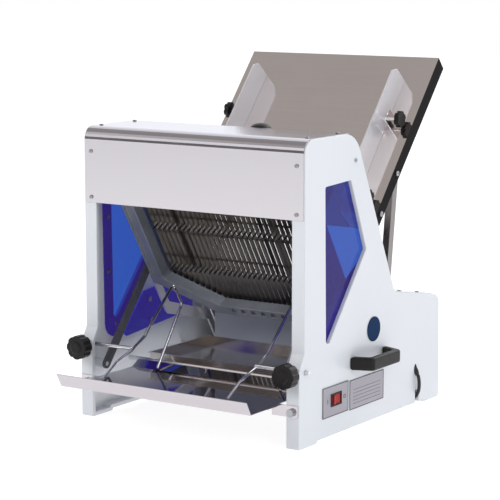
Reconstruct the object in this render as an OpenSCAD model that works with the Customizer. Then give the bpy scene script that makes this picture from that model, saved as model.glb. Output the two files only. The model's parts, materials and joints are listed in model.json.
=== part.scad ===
// Bench-top bread slicer. Two cast side frames carry two blade frames that saw in
// opposite directions, a sloping feed chute with a loaf pusher and side guides, and a
// discharge tray with two wire fences. The motor drive sits in the base at the back.
// Profiles are drawn in the side view: Y runs from front to back and Z is up, with
// Y = 0 on the front face of the front feet until place() centres the machine.

/* [Side frames] */
// Width across the two side frames
body_w = 520; // [470:1:600]
// Depth of each side frame casting from its outer face to its inner flange face
frame_depth = 29; // [26:0.5:36]
// Thickness of the outer wall and of the flanges
frame_wall = 9; // [7:0.5:11]
// Height of the side frames
frame_h = 584.5; // [570:0.5:610]
// Length of the base from the front feet to the back feet
frame_l = 552; // [545:1:580]
// Setback of the upper front edge behind the front feet
front_step = 18; // [14:0.5:24]
// Radius of the rounded front top corner
nose_r = 26; // [20:1:34]
// Height of the base at its front end, where the slanted edge starts
base_h = 250.6; // [244:0.2:256]
// Drop of the base top towards its back end
base_drop = 32.6; // [20:0.2:40]
// Clear height under the frames between the feet
foot_h = 5; // [3:0.5:8]
// Length of each foot
foot_l = 64; // [50:1:72]
// Overlap of the window sheets on the wall round each window
tint_margin = 30; // [24:1:34]

/* [Covers] */
// Thickness of the stainless cover sheet
sheet_t = 1.2; // [0.8:0.1:2]
// Setback of the front cover's ends from the outer faces
cover_inset = 2.5; // [1:0.5:6]
// Height of the lower edge of the front cover
cover_z = 434; // [420:1:450]
// Back edge of the front cover
cover_back = 178; // [160:1:180]
// Diameter of the cover screw heads
screw_d = 8; // [6:0.5:10]
// Thickness of the base cover and base panels
panel_t = 1.5; // [1:0.1:2.5]
// Thickness of the tinted side windows and guards
tint_t = 4; // [3:0.5:5]

/* [Chute] */
// Slope of the feed chute
chute_angle = 49.8; // [47:0.1:52]
// Length of the chute floor
chute_l = 427; // [380:1:450]
// Depth of the folded side flanges
chute_flange = 27; // [22:0.5:32]
// Gap between the chute and the side frames on each side
chute_gap = 0.5; // [0.3:0.1:2]
// Height of the loaf guides
guide_h = 56; // [45:1:70]
// Thickness of the loaf guides
guide_t = 3; // [2:0.5:5]
// Distance between the loaf guides
guide_span = 340; // [320:1:350]
// Slide of each loaf guide to either side
guide_travel = 12; // [6:0.5:12]
// Diameter of the guide knobs
guide_knob_d = 34; // [28:0.5:38]

/* [Blades] */
// Spacing of the slices
pitch = 12; // [10:0.5:16]
// Width of a blade
blade_w = 12; // [9:0.5:14]
// Thickness of a blade
blade_t = 0.7; // [0.5:0.1:1]
// Depth of a blade frame
ring_t = 26; // [20:0.5:30]
// Height of the top and bottom bars of the blade frames
ring_bar = 22; // [18:0.5:26]
// Width of the side bars of the front blade frame
ring_side = 31; // [28:0.5:33]
// Stroke of the blade frames to either side of the middle
stroke = 12; // [8:0.5:12]
// Lean of the blades from the vertical
lean = 32; // [30:0.5:34]

/* [Pusher] */
// Diameter of the pusher wires
wire_d = 4; // [3:0.25:5]
// Length of the lower wires
finger_l = 88; // [70:1:95]
// Reach of the wire tips between the blades
tip_reach = 25; // [15:0.5:28]
// Travel of the pusher up the chute
push_travel = 110; // [80:1:112]
// Diameter of the domed grip
grip_d = 46; // [36:1:50]

/* [Drive] */
// Diameter of the drive shaft
shaft_d = 16; // [12:0.5:20]
// Diameter of the eccentrics
ecc_d = 28; // [26:0.5:32]
// Diameter of the large pulley on the drive shaft
pulley_d = 90; // [70:1:94]
// Diameter of the small pulley on the motor
motor_pulley_d = 40; // [36:1:50]
// Diameter of the motor
motor_d = 100; // [80:1:104]
// Length of the motor
motor_l = 160; // [120:1:170]
// Length of the front rocker arms between pivot and pin
arm_l = 235; // [230:0.5:240]
// Length of the back rocker arms between pivot and pin
back_arm_l = 88; // [80:0.5:92]
// Width of the rocker arms
arm_w = 20; // [17:0.5:22]
// Diameter of the pivot pins
pin_d = 10; // [8:0.5:11]

/* [Tray and fences] */
// Reach of the tray in front of the feet
tray_reach = 108; // [80:1:130]
// Height of the tray floor
tray_z = 86; // [80:0.5:90]
// Height of the tray lip
lip_h = 26; // [15:0.5:32]
// Diameter of the fence wire and rods
rail_d = 8; // [6:0.5:9]
// Diameter of the fence knobs
rail_knob_d = 48; // [40:1:50]
// Outward slide of the fences
rail_out = 10; // [4:0.5:14]
// Inward slide of the fences
rail_in = 20; // [8:0.5:24]
// Length of the crumb pan
pan_l = 215; // [180:1:220]
// Depth of the crumb pan
pan_h = 15; // [10:0.5:20]

/* [Fittings] */
// Length of the carrying handles
handle_l = 141; // [125:1:150]
// Reach of the handles from the side frames
handle_reach = 45; // [38:0.5:55]
// Height of the handle grip
handle_h = 26; // [20:0.5:32]
// Thickness of the handle grip
handle_t = 15; // [11:0.5:17]
// Length of the switch rocker
rocker_l = 29; // [24:0.5:32]
// Tilt of the switch rocker between its two ends
rocker_tilt = 14; // [8:0.5:15]
// Diameter of the round side badge
disc_d = 50; // [40:1:56]
// Diameter of the cord
cord_d = 7; // [6:0.25:7]

/* [Hidden] */
$fn = 48;
run = 0.05;
clear = 0.3;
slack = 0.5;

function unit(v) = v / norm(v);
function meet(p, d, q, e) =
    let (w = q - p, k = d[0] * e[1] - d[1] * e[0])
    p + d * (w[0] * e[1] - w[1] * e[0]) / k;
function corner(p, a, b, r, n) =
    let (u = unit(a - p), v = unit(b - p), half = acos(u * v) / 2)
    let (room = 0.48 * min(norm(a - p), norm(b - p)))
    let (t = min(r / tan(half), room), q = t * tan(half))
    r <= 0 || half > 89.5 ? [p] :
    let (c = p + unit(u + v) * q / sin(half))
    let (e = unit(p + u * t - c), g = p + v * t - c, f = unit(g - e * (g * e)))
    [for (i = [0 : n]) let (w = (180 - 2 * half) * i / n) c + q * (e * cos(w) + f * sin(w))];
function rounded(pts, radii, n = 6) =
    let (m = len(pts))
    [for (i = [0 : m - 1]) each corner(pts[i], pts[(i + m - 1) % m], pts[(i + 1) % m], radii[i], n)];
function bent(pts, r, n = 5) =
    let (m = len(pts))
    [pts[0], for (i = [1 : m - 2]) each corner(pts[i], pts[i - 1], pts[i + 1], r, n), pts[m - 1]];
function inset(pts, t) =
    let (m = len(pts))
    [for (i = [0 : m - 1])
        let (a = pts[(i + m - 1) % m], p = pts[i], b = pts[(i + 1) % m])
        let (u = unit(p - a), v = unit(b - p))
        let (nu = [-u[1], u[0]] * t, nv = [-v[1], v[0]] * t)
        abs(u[0] * v[1] - u[1] * v[0]) < 0.001 ? p + nu : meet(p + nu, u, p + nv, v)];
// Strip of thickness t along an open path, to its left for positive t
function strip(path, t) =
    let (m = len(path))
    let (side = [for (i = [0 : m - 1])
        let (a = i == 0 ? path[1] - path[0] : path[i] - path[i - 1])
        let (b = i == m - 1 ? a : path[i + 1] - path[i])
        let (ua = unit(a), ub = unit(b), k = unit(ua + ub))
        path[i] + [-k[1], k[0]] * t / max(0.3, k * ua)])
    concat(path, [for (i = [m - 1 : -1 : 0]) side[i]]);

module yz_slab(x0, x1) {
    translate([x0, 0, 0]) rotate([90, 0, 90]) linear_extrude(x1 - x0) children();
}
module xs_slab(d0, d1) {
    translate([0, d1, 0]) rotate([90, 0, 0]) linear_extrude(d1 - d0) children();
}
module x_rod(x0, x1, p, r) {
    translate([x0, p[0], p[1]]) rotate([0, 90, 0]) cylinder(h = x1 - x0, r = r);
}
module both() {
    children();
    mirror([1, 0, 0]) children();
}
module on_side(side) {
    if (side < 0) mirror([1, 0, 0]) children();
    else children();
}

// Tube of n sides and radius r swept along a path of points
function tangents(path) =
    let (m = len(path))
    [for (i = [0 : m - 1]) unit(path[min(i + 1, m - 1)] - path[max(i - 1, 0)])];
function carried(v, t) = unit(v - t * (v * t));
function tube_points(path, r, n, first) =
    let (t = tangents(path), m = len(path))
    let (normals = [for (i = 0, v = carried(first, t[0]); i < m;
        i = i + 1, v = i < m ? carried(v, t[i]) : v) v])
    [for (i = [0 : m - 1], k = [0 : n - 1])
        path[i] + r * (normals[i] * cos(360 * k / n) + cross(t[i], normals[i]) * sin(360 * k / n))];
function tube_faces(m, n) = concat(
    [for (i = [0 : m - 2], k = [0 : n - 1]) [i * n + k, (i + 1) * n + k, i * n + (k + 1) % n]],
    [for (i = [0 : m - 2], k = [0 : n - 1])
        [i * n + (k + 1) % n, (i + 1) * n + k, (i + 1) * n + (k + 1) % n]],
    [for (k = [1 : n - 2]) [0, k, k + 1]],
    [for (k = [1 : n - 2]) [(m - 1) * n, (m - 1) * n + k + 1, (m - 1) * n + k]]);
module tube(path, r, n, first) {
    polyhedron(tube_points(path, r, n, first), tube_faces(len(path), n), convexity = 10);
}
// Smooth path through the route's points
function curve_at(a, b, c, d, t) =
    0.5 * (2 * b + (c - a) * t + (2 * a - 5 * b + 4 * c - d) * t * t + (3 * b - a - 3 * c + d) * t * t * t);
function smooth(pts, n) =
    let (m = len(pts))
    concat([for (i = [0 : m - 2], k = [0 : n - 1])
        curve_at(pts[max(i - 1, 0)], pts[i], pts[i + 1], pts[min(i + 2, m - 1)], k / n)], [pts[m - 1]]);

// Layers from the outer face inwards
half_w = body_w / 2;
x_wall = half_w - frame_wall;
x_in = half_w - frame_depth;
x_tint = x_in - tint_t;
x_glass = x_wall - tint_t;
head_t = 1.2;
x_arm = x_tint - head_t - 2 * clear;
arm_t = 5.7;
x_arm_in = x_arm - arm_t;
front_half = x_arm_in - 1.5;
back_half = front_half - 4;
back_side = ring_side - 2;

// Side frame outline
slope = [-0.4272, 0.9042];
base_dir = [frame_l - 4 - 360.5, -base_drop];
notch = [360.5, base_h];
frame_top = meet([0, frame_h], [1, 0], notch, slope);
foot_run = 2;
frame_pts = [
    [0, 0], [foot_l, 0], [foot_l + foot_run, foot_h], [frame_l - foot_l - foot_run, foot_h],
    [frame_l - foot_l, 0], [frame_l, 0], notch + base_dir, notch, frame_top,
    [front_step, frame_h], [front_step, 182], [0, 152]];
frame_radii = [3, 2, 2, 2, 2, 6, 22, 20, 60, nose_r, 20, 20];
cavity_radii = [2, 0, 0, 0, 0, 2, 13, 29, 51, nose_r - frame_wall, 12, 12];
frame_outline = rounded(frame_pts, frame_radii);
frame_cavity = rounded(inset(frame_pts, frame_wall), cavity_radii);
window_top = frame_h - 94;
window_front = front_step + 73;
window_low = [window_front + 5.5, 174];
window_back = [245, 354];
window_pts = [[window_front, window_top], window_low, window_back, [window_front + 94, window_top + 4]];
window_cut = rounded(window_pts, [4, 8, 6, 5]);
window_sheet = rounded(inset(window_pts, -tint_margin), [10, 32, 20, 14]);

// Chute frame: origin at the chute's lower end, Y up the slope
chute_at = [311, 383];
chute_dir = [cos(chute_angle), sin(chute_angle)];
chute_up = [-sin(chute_angle), cos(chute_angle)];
chute_half = x_in - chute_gap;
function chute_yz(p) = chute_at + chute_dir * p[0] + chute_up * p[1];
module in_chute() {
    translate([0, chute_at[0], chute_at[1]]) rotate([chute_angle, 0, 0]) children();
}

// Lean frame: Z along the blades, Y across them towards the back
lean_at = [200.3, 231.7];
lean_up = [-sin(lean), cos(lean)];
lean_back = [cos(lean), sin(lean)];
function lean_yz(d, s) = lean_at + lean_back * d + lean_up * s;
module in_lean() {
    translate([0, lean_at[0], lean_at[1]]) rotate([lean, 0, 0]) children();
}

// The machine stands centred over its footprint, tray lip to chute flange
lip_dir = [-0.5, 0.866];
lip_at = [-tray_reach, tray_z];
lip_top = lip_at + lip_dir * lip_h / lip_dir[1];
chute_tail = chute_yz([chute_l - 4.4, -chute_flange - 4]);
y_mid = (lip_top[0] - sheet_t * lip_dir[1] + chute_tail[0]) / 2;
module place() {
    translate([0, -y_mid, 0]) children();
}

// Pivots and shafts in the side view
front_pin = lean_yz(ring_t / 2, 59);
front_arm_dir = [0.622, 0.783];
front_pivot = front_pin - front_arm_dir * arm_l;
blade_d0 = ring_t + 1;
back_d0 = blade_d0 + blade_w + 1;
back_pin = lean_yz(back_d0 + ring_t / 2, 25);
back_pivot = back_pin + lean_back * back_arm_l;
plate_z = foot_h + 4;
plate_y = notch[0] + 11.5;
back_y = frame_l - 11;
motor_at = [back_y - 53, plate_z + 71];
shaft_at = [back_y - 116, base_h - 100.6];
rod_at = [23, 146];
ecc = stroke;
switch_at = [132.3, 75];
boss_r = pin_d / 2 + 5;
bearing_r = shaft_d / 2 + 10;
tie_r = 5;
tie_points = [[front_step + 27, frame_h - 24.5], [150, 94], [335, 94]];
window_screws_at = [[window_front - 14.5, window_top - 93], [window_front - 14, window_top - 205],
    window_low + [3, 1], window_back + [-30, -54]];
guard_screws_at = [[190, 213], [195, 169]];
cord_y = frame_l - 107;
way_y0 = cord_y + 5.5;
way_y = 15;
way_z = 31;
exit_at = [half_w, cord_y + 5.5, 74];
exit_dir = unit([0.42, 0.06, -0.9]);
gland_r = 5;
gland_out = 9;
gland_in = frame_wall / exit_dir[0];
gland_turn = [0, acos(exit_dir[2]), atan2(exit_dir[1], exit_dir[0])];

module side_holes() {
    yz_slab(x_wall - 1, half_w + 1) polygon(window_cut);
    x_rod(x_in - 1, half_w + 1, rod_at, rail_d / 2 + clear);
    x_rod(x_in - 1, x_wall - 0.5, shaft_at, shaft_d / 2 + run);
    translate([rail_knob_x, -1, rod_at[1]]) rotate([-90, 0, 0])
        cylinder(h = frame_wall + 2, r = rail_stud_r + clear);
}
module side_bosses(x0) {
    x_rod(x0, x_wall + 1, shaft_at, bearing_r);
    x_rod(x0, x_wall + 1, front_pivot, boss_r);
    x_rod(x0, x_wall + 1, back_pivot, boss_r);
    for (p = guard_screws_at) x_rod(x0, x_wall + 1, p, 6.5);
}
module side_shell() {
    difference() {
        yz_slab(x_in, half_w) polygon(frame_outline);
        difference() {
            yz_slab(x_in - 1, x_wall) polygon(frame_cavity);
            side_bosses(x_in - 2);
        }
        side_holes();
    }
    for (p = [front_pivot, back_pivot]) {
        x_rod(x_arm + slack, x_in + 1, p, boss_r);
        x_rod(x_arm_in, x_arm + 1, p, pin_d / 2);
    }
}
module side_frame_left() {
    color("white") place() mirror([1, 0, 0]) side_shell();
}
// Rod of radius r along the cord's slanting way out of the wall, longer by k at both ends
module gland_rod(r, k) {
    translate(exit_at - exit_dir * (gland_in + k)) rotate(gland_turn)
        cylinder(h = gland_in + gland_out + 2 * k, r = r);
}
module side_frame_right() {
    color("white") place() difference() {
        side_shell();
        translate([x_in - 5, way_y0, -1]) cube([frame_depth + 10, way_y, way_z + 1]);
        gland_rod(gland_r, 1);
        translate([x_wall - 1, switch_at[0] - switch_l / 2, switch_at[1] - switch_h / 2])
            cube([frame_wall + 2, switch_l, switch_h]);
        translate([rocker_x, switch_at[0], switch_at[1] - switch_h / 2 - rocker_pin])
            cylinder(h = switch_h + 2 * rocker_pin, r = rocker_pin + run);
    }
}
module tie_rods() {
    color("silver") place() for (p = tie_points) x_rod(-x_wall, x_wall, p, tie_r);
}

// Base
function base_top(y) = base_h - base_drop * (y - notch[0]) / base_dir[0];
module base_plate() {
    color("dimgray") place() difference() {
        translate([-x_in, plate_y, plate_z]) cube([2 * x_in, back_y - plate_y, 3]);
        translate([x_in - 20, way_y0, plate_z - 1]) cube([21, way_y, 5]);
    }
}
module base_front_panel() {
    panel_top = base_top(plate_y + 2) - clear;
    color("dimgray") place() translate([-front_half + 28, plate_y, plate_z + 3])
        cube([2 * front_half - 56, panel_t, panel_top - plate_z - 3]);
}
module base_cover() {
    y0 = plate_y + 1;
    y1 = back_y - 19;
    y2 = back_y;
    color("white") place() {
        yz_slab(-half_w + 3, half_w - 3)
            polygon([[y0, base_top(y0)], [y1, base_top(y1)],
                [y1, base_top(y1) + panel_t], [y0, base_top(y0) + panel_t]]);
        yz_slab(-x_in + clear, x_in - clear)
            polygon([[y1 - 1, base_top(y1 - 1)], [y2, base_top(y2)], [y2, plate_z + 3],
                [y2 + panel_t, plate_z + 3], [y2 + panel_t, base_top(y2) + panel_t],
                [y1 - 1, base_top(y1 - 1) + panel_t]]);
    }
}

// Front cover: a bent sheet over the front and top of both side frames
cover_half = half_w - cover_inset;
cover_path = bent([[front_step, cover_z], [front_step, frame_h], [cover_back, frame_h]], nose_r - 2, 8);
module front_cover() {
    color("silver") place() yz_slab(-cover_half, cover_half) polygon(strip(cover_path, sheet_t));
}
screw_x = half_w - 18;
plug_at = [frame_top[0] - 2, frame_h - 52.5];
module dome(r, h) {
    cylinder(h = 0.6 * h, r = r);
    translate([0, 0, 0.6 * h]) cylinder(h = 0.4 * h, r1 = r, r2 = 0.6 * r);
}
module cover_screws() {
    slope_angle = atan(base_drop / base_dir[0]);
    color("gray") place() {
        both() for (z = [cover_z + 11, frame_h - 48])
            translate([screw_x, front_step - sheet_t, z]) rotate([90, 0, 0]) dome(screw_d / 2, 2.4);
        both() for (y = [front_step + 34, cover_back - 16])
            translate([screw_x, y, frame_h + sheet_t]) dome(screw_d / 2, 2.4);
        both() for (y = [plate_y + 37, plate_y + 112])
            translate([screw_x, y, base_top(y) + panel_t / cos(slope_angle)]) rotate([-slope_angle, 0, 0])
                translate([0, 0, 0.05]) dome(screw_d / 2, 2.4);
        both() translate([half_w, plug_at[0], plug_at[1]]) rotate([0, 90, 0]) dome(5.5, 1.6);
    }
}

// Tinted sheets behind the side windows, and lower guards on the inner flange faces
guard_pts = [[91.6, 146.6], [345, 170], [330, 250], [169, 234]];
module windows() {
    color([0.15, 0.3, 0.75]) place() both() yz_slab(x_glass, x_wall)
        polygon(window_sheet);
}
module guards() {
    color([0.15, 0.3, 0.75]) place() both() yz_slab(x_tint, x_in)
        polygon(rounded(guard_pts, [8, 10, 10, 10]));
}
module window_screws() {
    color("silver") place() both() {
        for (p = window_screws_at) x_rod(x_glass - head_t, x_glass, p, 5);
        for (p = guard_screws_at) x_rod(x_tint - head_t, x_tint, p, 5);
    }
}
module frame_pads() {
    pad_s = 262;
    pad = 20;
    color("ivory") place() both() in_lean() {
        translate([front_half + clear, (ring_t - pad) / 2, pad_s - pad / 2])
            cube([x_glass - front_half - clear, pad, pad]);
        translate([back_half + clear, back_d0 + (ring_t - pad) / 2, pad_s - pad / 2])
            cube([x_glass - back_half - clear, pad, pad]);
    }
}

// Feed chute
tab_x = guide_span / 2 + guide_t + guide_travel + 1;
tab_t = 2;
guide_y0 = 8;
guide_y1 = chute_l - 63;
stud_ys = [guide_y0 + 52, chute_l - 173];
stud_z = guide_knob_d / 2 + 2;
stud_r = 3;
knob_x = tab_x + tab_t + guide_travel + 1;
knob_l = 14;
flange_pts = [[2, 0], [24, -chute_flange + 2], [chute_l - 4.4, -chute_flange - 4], [chute_l, 0]];
bolt_ys = [45, 144];
module chute() {
    color("silver") place() in_chute() {
        translate([-chute_half, 0, -panel_t]) cube([2 * chute_half, chute_l, panel_t]);
        both() yz_slab(chute_half - panel_t, chute_half) polygon(flange_pts);
        both() for (y = stud_ys) difference() {
            translate([tab_x, y - 14, -0.5]) cube([tab_t, 28, stud_z + 15]);
            x_rod(tab_x - 1, tab_x + tab_t + 1, [y, stud_z], stud_r + clear);
        }
    }
}
strut_w = 15;
strut_d = 18;
strut_foot = 385;
strut_bolt = chute_yz([bolt_ys[1], -14.2]);
strut_dir = unit(strut_bolt - [strut_foot, base_top(strut_foot)]);
strut_side = [strut_dir[1], -strut_dir[0]];
base_slope = unit(base_dir);
function strut_edge(k) = let (p = [strut_foot, base_top(strut_foot)] + strut_side * k)
    [meet(p, strut_dir, [notch[0], base_h] + [0, panel_t / base_slope[0]], base_slope),
        meet(p, strut_dir, chute_yz([0, -panel_t - clear]), chute_dir)];
function strut_pts(k0, k1) = let (a = strut_edge(k0), b = strut_edge(k1)) [a[0], b[0], b[1], a[1]];
module chute_struts() {
    x1 = chute_half - panel_t;
    color("silver") place() both() difference() {
        yz_slab(x1 - strut_w, x1) polygon(strut_pts(-strut_d / 2, strut_d / 2));
        yz_slab(x1 - strut_w + 2, x1 - 2)
            polygon(inset(strut_pts(-strut_d / 2 + 2, strut_d / 2 + 8), -0.01));
    }
}
bracket_pts = [[-35, -27], [62, -21], [62, -3], [-6, -3], [-10, 4], [-30, 4]];
module chute_brackets() {
    x1 = chute_half - panel_t;
    color("gray") place() both() in_chute() {
        yz_slab(x1 - 3, x1) polygon(bracket_pts);
        for (p = [[-19, -2], [-27.5, -20.5]]) x_rod(x1 - 1, x_in, p, 4.5);
    }
}
module chute_bolts() {
    color("silver") place() both() in_chute() for (y = bolt_ys)
        translate([chute_half, y, -14.2]) rotate([0, 90, 0]) dome(5.5, 3);
}
guide_half = guide_span / 2;
module loaf_guide() {
    in_chute() {
        yz_slab(guide_half, guide_half + guide_t)
            polygon([[guide_y0, clear], [guide_y1, clear], [guide_y1, guide_h - 14], [guide_y1 - 14, guide_h],
                [guide_y0 + 26, guide_h], [guide_y0, guide_h - 20]]);
        for (y = stud_ys) x_rod(guide_half + guide_t - 0.5, knob_x + knob_l - 3, [y, stud_z], stud_r);
    }
}
module guide_left() {
    color("lightgray") place() mirror([1, 0, 0]) loaf_guide();
}
module guide_right() {
    color("lightgray") place() loaf_guide();
}
module lobed(r, n, dip) {
    scallop = 0.34 * r;
    difference() {
        circle(r);
        for (i = [0 : n - 1]) rotate(360 * (i + 0.5) / n) translate([r + scallop - dip, 0]) circle(scallop);
    }
}
module guide_knob(side, k) {
    color([0.15, 0.14, 0.14]) place() on_side(side) in_chute()
        translate([knob_x, stud_ys[k], stud_z]) rotate([0, 90, 0]) difference() {
            union() {
                cylinder(h = 5, r = guide_knob_d / 4);
                translate([0, 0, 4]) linear_extrude(knob_l - 4) lobed(guide_knob_d / 2, 6, 2.6);
            }
            translate([0, 0, -1]) cylinder(h = knob_l - 2 + clear, r = stud_r + run);
        }
}
module guide_knob_left_lower() {
    guide_knob(-1, 0);
}
module guide_knob_left_upper() {
    guide_knob(-1, 1);
}
module guide_knob_right_lower() {
    guide_knob(1, 0);
}
module guide_knob_right_upper() {
    guide_knob(1, 1);
}

// Blade frames: cast rings in the lean frame, drawn across X and along the blades
bar_s = -45;
ring_top = 312;
left_run = 120;
right_run = 67;
side_s = 35;
function ring_inner(w, l, r) = [[-w, side_s], [-w + l, bar_s + ring_bar], [w - r, bar_s + ring_bar],
    [w, side_s], [w, ring_top - ring_bar], [-w, ring_top - ring_bar]];
function ring_outer(h, w, l, r) = [[-h + 20, side_s - 21], [-w + l - 10, bar_s], [w - r + 10, bar_s],
    [h - 14, side_s - 21], [h, side_s - 15], [h, ring_top], [-h, ring_top], [-h, side_s - 15]];
front_w = front_half - ring_side;
back_w = back_half - back_side;
// Height of a ring's lower inner edge at position x
function inner_s(x, w, l, r) =
    let (fall = side_s - bar_s - ring_bar)
    x < -w + l ? side_s - fall * (x + w) / l : x > w - r ? side_s - fall * (w - x) / r : bar_s + ring_bar;
blade_reach = floor((min(front_w, back_w) - 2) / pitch);
front_xs = [for (i = [-blade_reach : blade_reach]) if (i % 2 != 0) i * pitch];
back_xs = [for (i = [-blade_reach : blade_reach]) if (i % 2 == 0) i * pitch];
pocket = 10;
module ring_blank(h, w, l, r, d0) {
    difference() {
        xs_slab(d0, d0 + ring_t) polygon(rounded(ring_outer(h, w, l, r), [6, 4, 4, 6, 4, 6, 6, 4], 4));
        xs_slab(d0 - 1, d0 + ring_t + 1) polygon(rounded(ring_inner(w, l, r), [12, 10, 10, 12, 8, 8], 4));
    }
}
module ring_pins(h, d, s) {
    both() x_rod(h - 1, x_arm, [d, s], pin_d / 2);
}
module blade_frame_front() {
    color([0.45, 0.47, 0.5]) place() in_lean() {
        difference() {
            ring_blank(front_half, front_w, left_run, right_run, 0);
            for (i = [-1 : 5])
                translate([2 * pitch * (i - 0.5) - pocket / 2, -1, bar_s + (ring_bar - pocket) / 2])
                    cube([pocket, 8, pocket]);
            both() translate([front_w + 5, -1, side_s + 6])
                cube([ring_side - 10, 6, ring_top - ring_bar - side_s - 10]);
        }
        ring_pins(front_half, ring_t / 2, 59);
    }
}
module blade_frame_rear() {
    color([0.45, 0.47, 0.5]) place() in_lean() {
        ring_blank(back_half, back_w, left_run, left_run, back_d0);
        ring_pins(back_half, back_d0 + ring_t / 2, 25);
    }
}
// Blade with lugs at both ends that reach its own frame
lug = 8;
module blade(x, s0, lug_d) {
    s1 = ring_top - ring_bar / 2;
    d0 = blade_d0;
    d1 = blade_d0 + blade_w;
    body = [[d0, s0], [d1, s0], [d1, s1], [d0, s1]];
    lug_l = abs(lug_d - (lug_d < d0 ? d0 : d1)) + 1;
    yz_slab(x - blade_t / 2, x + blade_t / 2) {
        polygon(body);
        for (s = [s0, s1 - lug]) translate([min(lug_d, d1 - 1), s]) square([lug_l, lug]);
    }
}
module blades_front() {
    color([0.3, 0.3, 0.32]) place() in_lean() for (x = front_xs)
        blade(x, inner_s(x, front_w, left_run, right_run) - 11, ring_t);
}
module blades_rear() {
    color([0.3, 0.3, 0.32]) place() in_lean() for (x = back_xs)
        blade(x, inner_s(x, back_w, left_run, left_run) - 11, back_d0);
}

// Eccentric yokes: each blade frame is driven by two plates that reach back to the shaft
yoke_rim = 8;
yoke_gap = 0.8;
yoke_t = 5;
yoke_w = ecc_d / 2 + ecc + yoke_gap;
yoke_l = yoke_w + stroke;
module yoke_eye(grow, x0, x1) {
    translate([0, shaft_at[0], shaft_at[1]]) rotate([lean, 0, 0])
        translate([x0, -yoke_w - grow, -yoke_l - grow])
            cube([x1 - x0, 2 * (yoke_w + grow), 2 * (yoke_l + grow)]);
}
module yoke(path, x0) {
    difference() {
        union() {
            yz_slab(x0, x0 + yoke_t) polygon(path);
            yoke_eye(yoke_rim, x0, x0 + yoke_t);
        }
        yoke_eye(0, x0 - 1, x0 + yoke_t + 1);
    }
}
front_yoke_x = front_half;
back_yoke_x = back_half - 14;
yoke_h = 22;
module con_rods_front() {
    elbow = lean_yz(ring_t / 2, -62);
    tail = shaft_at - [yoke_w + 6, 0];
    color("darkgray") place() both() yoke([lean_yz(4, side_s), lean_yz(4, -62), elbow - [0, yoke_h / 2],
        tail - [0, yoke_h / 2], tail + [0, yoke_h / 2], lean_yz(ring_t - 4, -50),
        lean_yz(ring_t - 4, side_s)], front_yoke_x);
}
module con_rods_rear() {
    tail = shaft_at - [yoke_w - 2, -16];
    color("darkgray") place() both() yoke([lean_yz(back_d0 + ring_t, 40), lean_yz(back_d0 + ring_t, 12),
        tail - [0, yoke_h / 2], tail + [0, yoke_h / 2]], back_yoke_x);
}

// Loaf pusher: a welded wire comb on two runners, with a stem and a domed grip
comb_d = back_d0 + 3;
comb_s = 46;
row_gap = 21;
upper_l = 60;
bar_d = comb_d + 3.8;
finger_reach = floor((back_w - wire_d - 4) / pitch - 0.5);
finger_xs = [for (i = [-finger_reach - 1 : finger_reach]) (i + 0.5) * pitch];
comb_top = comb_s + finger_l + row_gap + upper_l;
upright_x = 102;
upright_t = 8;
runner_low = 131;
runner_end = 200;
runner_high = runner_end - push_travel;
runner_t = 4;
stem_x = 36;
stem_r = 5;
grip_at = [208, 570];
stem_route = [lean_yz(bar_d, comb_top - 9), lean_yz(bar_d + 30, comb_top + 6), grip_at - [36, 62],
    grip_at - [5, 18], grip_at + [0, 2]];
module finger(x, s, l) {
    translate([x, comb_d, s - wire_d / 2]) cylinder(h = l + wire_d / 2, r = wire_d / 2, $fn = 8);
    translate([x, comb_d + wire_d / 2, s]) rotate([90, 0, 0])
        cylinder(h = tip_reach + wire_d / 2, r = wire_d / 2, $fn = 8);
}
module pusher_comb() {
    low = [comb_s + 16, comb_s + finger_l - 8];
    high = [comb_s + finger_l + row_gap + 12, comb_top - 8];
    bar_l = 2 * finger_xs[len(finger_xs) - 1] + wire_d;
    color([0.12, 0.12, 0.13]) place() {
        in_lean() {
            for (x = finger_xs) {
                finger(x, comb_s, finger_l);
                finger(x, comb_s + finger_l + row_gap, upper_l);
            }
            for (s = concat(low, high)) translate([-bar_l / 2, bar_d, s]) rotate([0, 90, 0])
                cylinder(h = bar_l, r = wire_d / 2 + 0.1, $fn = 8);
            both() translate([upright_x - upright_t / 2, bar_d + 1, comb_s - 15])
                cube([upright_t, runner_t, comb_top - comb_s + 12]);
        }
        both() yz_slab(upright_x - upright_t / 2, upright_x + upright_t / 2)
            polygon([chute_yz([-runner_low, clear]), chute_yz([runner_high, clear]),
                chute_yz([runner_high, clear + runner_t]),
                chute_yz([-runner_low + runner_t, clear + runner_t])]);
        translate([stem_x, 0, 0])
            tube(smooth([for (p = stem_route) [0, p[0], p[1]]], 5), stem_r, 10, [1, 0, 0]);
    }
}
module pusher_grip() {
    color([0.1, 0.1, 0.11]) place() translate([stem_x, grip_at[0], grip_at[1] + 2]) rotate_extrude()
        polygon(concat([[0, 0], [grip_d / 2 - 4, 0]], [for (i = [0 : 8])
            [grip_d / 2 * cos(10 * i), 6 + 14 * sin(10 * i)]], [[0, 20]]));
}

// Rocker arms between the side frames and the blade frames
module arm(from, to, reach) {
    dir = unit(to - from);
    angle = atan2(dir[1], dir[0]);
    translate([x_arm_in, from[0], from[1]]) rotate([angle, 0, 0]) rotate([90, 0, 90]) linear_extrude(arm_t)
        difference() {
            union() {
                circle(arm_w / 2);
                translate([0, -arm_w / 2]) square([norm(to - from), arm_w]);
                translate([norm(to - from), 0]) circle(arm_w / 2 + reach / 2);
            }
            circle(pin_d / 2 + run);
            for (k = [-reach, reach]) translate([norm(to - from) + k, 0]) circle(pin_d / 2 + slack);
            translate([norm(to - from) - reach, -pin_d / 2 - slack]) square([2 * reach, pin_d + 2 * slack]);
        }
}
module arm_front_left() {
    color([0.35, 0.35, 0.38]) place() mirror([1, 0, 0]) arm(front_pivot, front_pin, 5);
}
module arm_front_right() {
    color([0.35, 0.35, 0.38]) place() arm(front_pivot, front_pin, 5);
}
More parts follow.
